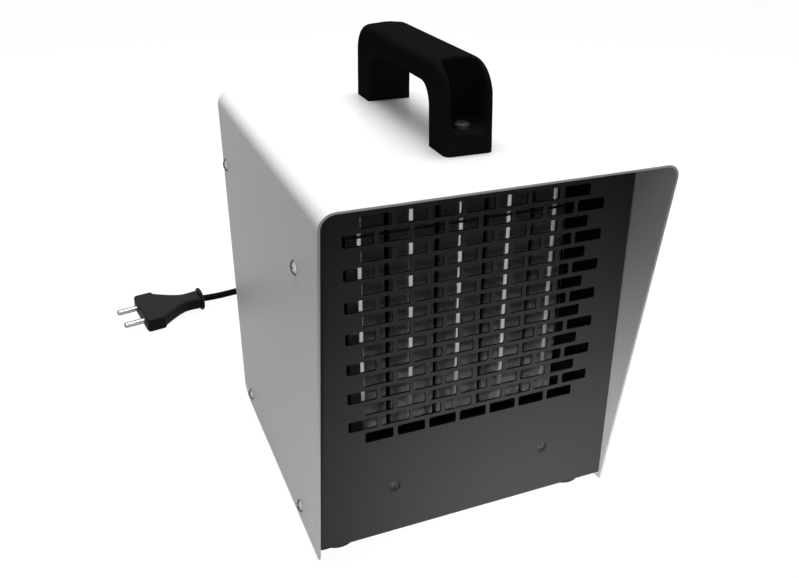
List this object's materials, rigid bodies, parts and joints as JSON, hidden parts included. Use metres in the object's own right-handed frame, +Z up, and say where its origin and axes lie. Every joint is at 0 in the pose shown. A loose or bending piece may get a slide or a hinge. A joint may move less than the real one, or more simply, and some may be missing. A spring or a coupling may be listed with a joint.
{
  "type": "forced air heater",
  "caption": "Portable forced air heater: folded white steel cover over a slotted charcoal outlet, finned element, axial fan, bridge handle, rear dials and mains lead.",
  "frame": {"origin": "on the floor under the feet, in the middle of the heater's own plan", "axes": "X across the front, -Y towards the front with the outlet grille, +Z up"},
  "size_m": [0.283, 0.4152, 0.292],
  "materials": {
    "white_enamel": "semi-gloss baked enamel",
    "charcoal_enamel": "fine satin powder coat",
    "zinc_sheet": "plain galvanised sheet",
    "nickel_screw": "nickel-plated steel",
    "black_moulding": "satin moulded black",
    "dark_moulding": "heat-proof moulding, dull",
    "black_rubber": "matt rubber",
    "bright_aluminium": "bright flat tube",
    "fin_aluminium": "thin corrugated foil, darkened by heat",
    "spring_steel": "bare spring steel",
    "copper_tube": "fine capillary tube, tarnished dark",
    "fan_aluminium": "pressed sheet, dull",
    "lamination_steel": "stacked laminations, oiled",
    "winding_wrap": "taped winding on a bobbin",
    "bracket_alloy": "die-cast, as cast",
    "bush_brass": "sintered bearing bronze",
    "spindle_moulding": "natural moulded spindle",
    "white_moulding": "natural white terminal moulding",
    "cord_black": "flexible black sheath, satin",
    "wire_sleeve": "sleeved single wires",
    "plug_black": "moulded black plug, satin",
    "pin_brass": "nickel-washed brass pins"
  },
  "bodies": {
    "heater": {"cover": "white_enamel", "base_tray": "zinc_sheet", "front_panel": "charcoal_enamel", "rear_panel": "charcoal_enamel", "side_screws": "nickel_screw", "front_panel_screws": "nickel_screw", "rear_panel_screws": "nickel_screw", "chassis_screws": "nickel_screw", "handle": "black_moulding", "handle_screws": "nickel_screw", "handle_nuts": "nickel_screw", "foot_front_left": "black_rubber", "foot_front_right": "black_rubber", "foot_rear_left": "black_rubber", "foot_rear_right": "black_rubber", "foot_screws": "nickel_screw", "foot_nuts": "nickel_screw", "heating_tubes": "bright_aluminium", "heating_fins": "fin_aluminium", "element_lower_frame": "dark_moulding", "element_upper_frame": "dark_moulding", "element_springs": "spring_steel", "element_terminals": "nickel_screw", "overheat_cutout": "dark_moulding", "overheat_capillary": "copper_tube", "air_duct": "zinc_sheet", "fan_deck": "zinc_sheet", "motor_strap": "zinc_sheet", "motor_stator": "lamination_steel", "motor_coil": "winding_wrap", "motor_front_bracket": "bracket_alloy", "motor_rear_bracket": "bracket_alloy", "motor_bushes": "bush_brass", "motor_screws": "nickel_screw", "selector_switch": "dark_moulding", "thermostat_body": "dark_moulding", "terminal_block": "white_moulding", "lead_inside": "cord_black", "wiring": "wire_sleeve", "cord_gland": "cord_black", "mains_lead_gland_run": "cord_black", "mains_lead_coil": "cord_black", "mains_lead_plug_run": "cord_black", "plug_body": "plug_black", "plug_pins": "pin_brass"},
    "fan": {"impeller": "fan_aluminium", "motor_shaft": "spring_steel", "motor_rotor": "lamination_steel"},
    "selector": {"selector_spindle": "spindle_moulding", "selector_knob": "black_moulding"},
    "thermostat": {"thermostat_spindle": "spindle_moulding", "thermostat_knob": "black_moulding"}
  },
  "joints": [
    {"name": "fan_spin", "type": "hinge", "parent": "heater", "child": "fan", "pos_m": [0, 0, 0.1475], "axis": [0, 1, 0], "continuous": true},
    {"name": "selector_turn", "type": "hinge", "parent": "heater", "child": "selector", "pos_m": [-0.045, 0.1, 0.052], "axis": [0, -1, 0], "range_deg": [0, 135]},
    {"name": "thermostat_turn", "type": "hinge", "parent": "heater", "child": "thermostat", "pos_m": [0.008, 0.1, 0.052], "axis": [0, -1, 0], "range_deg": [0, 270]}
  ]
}
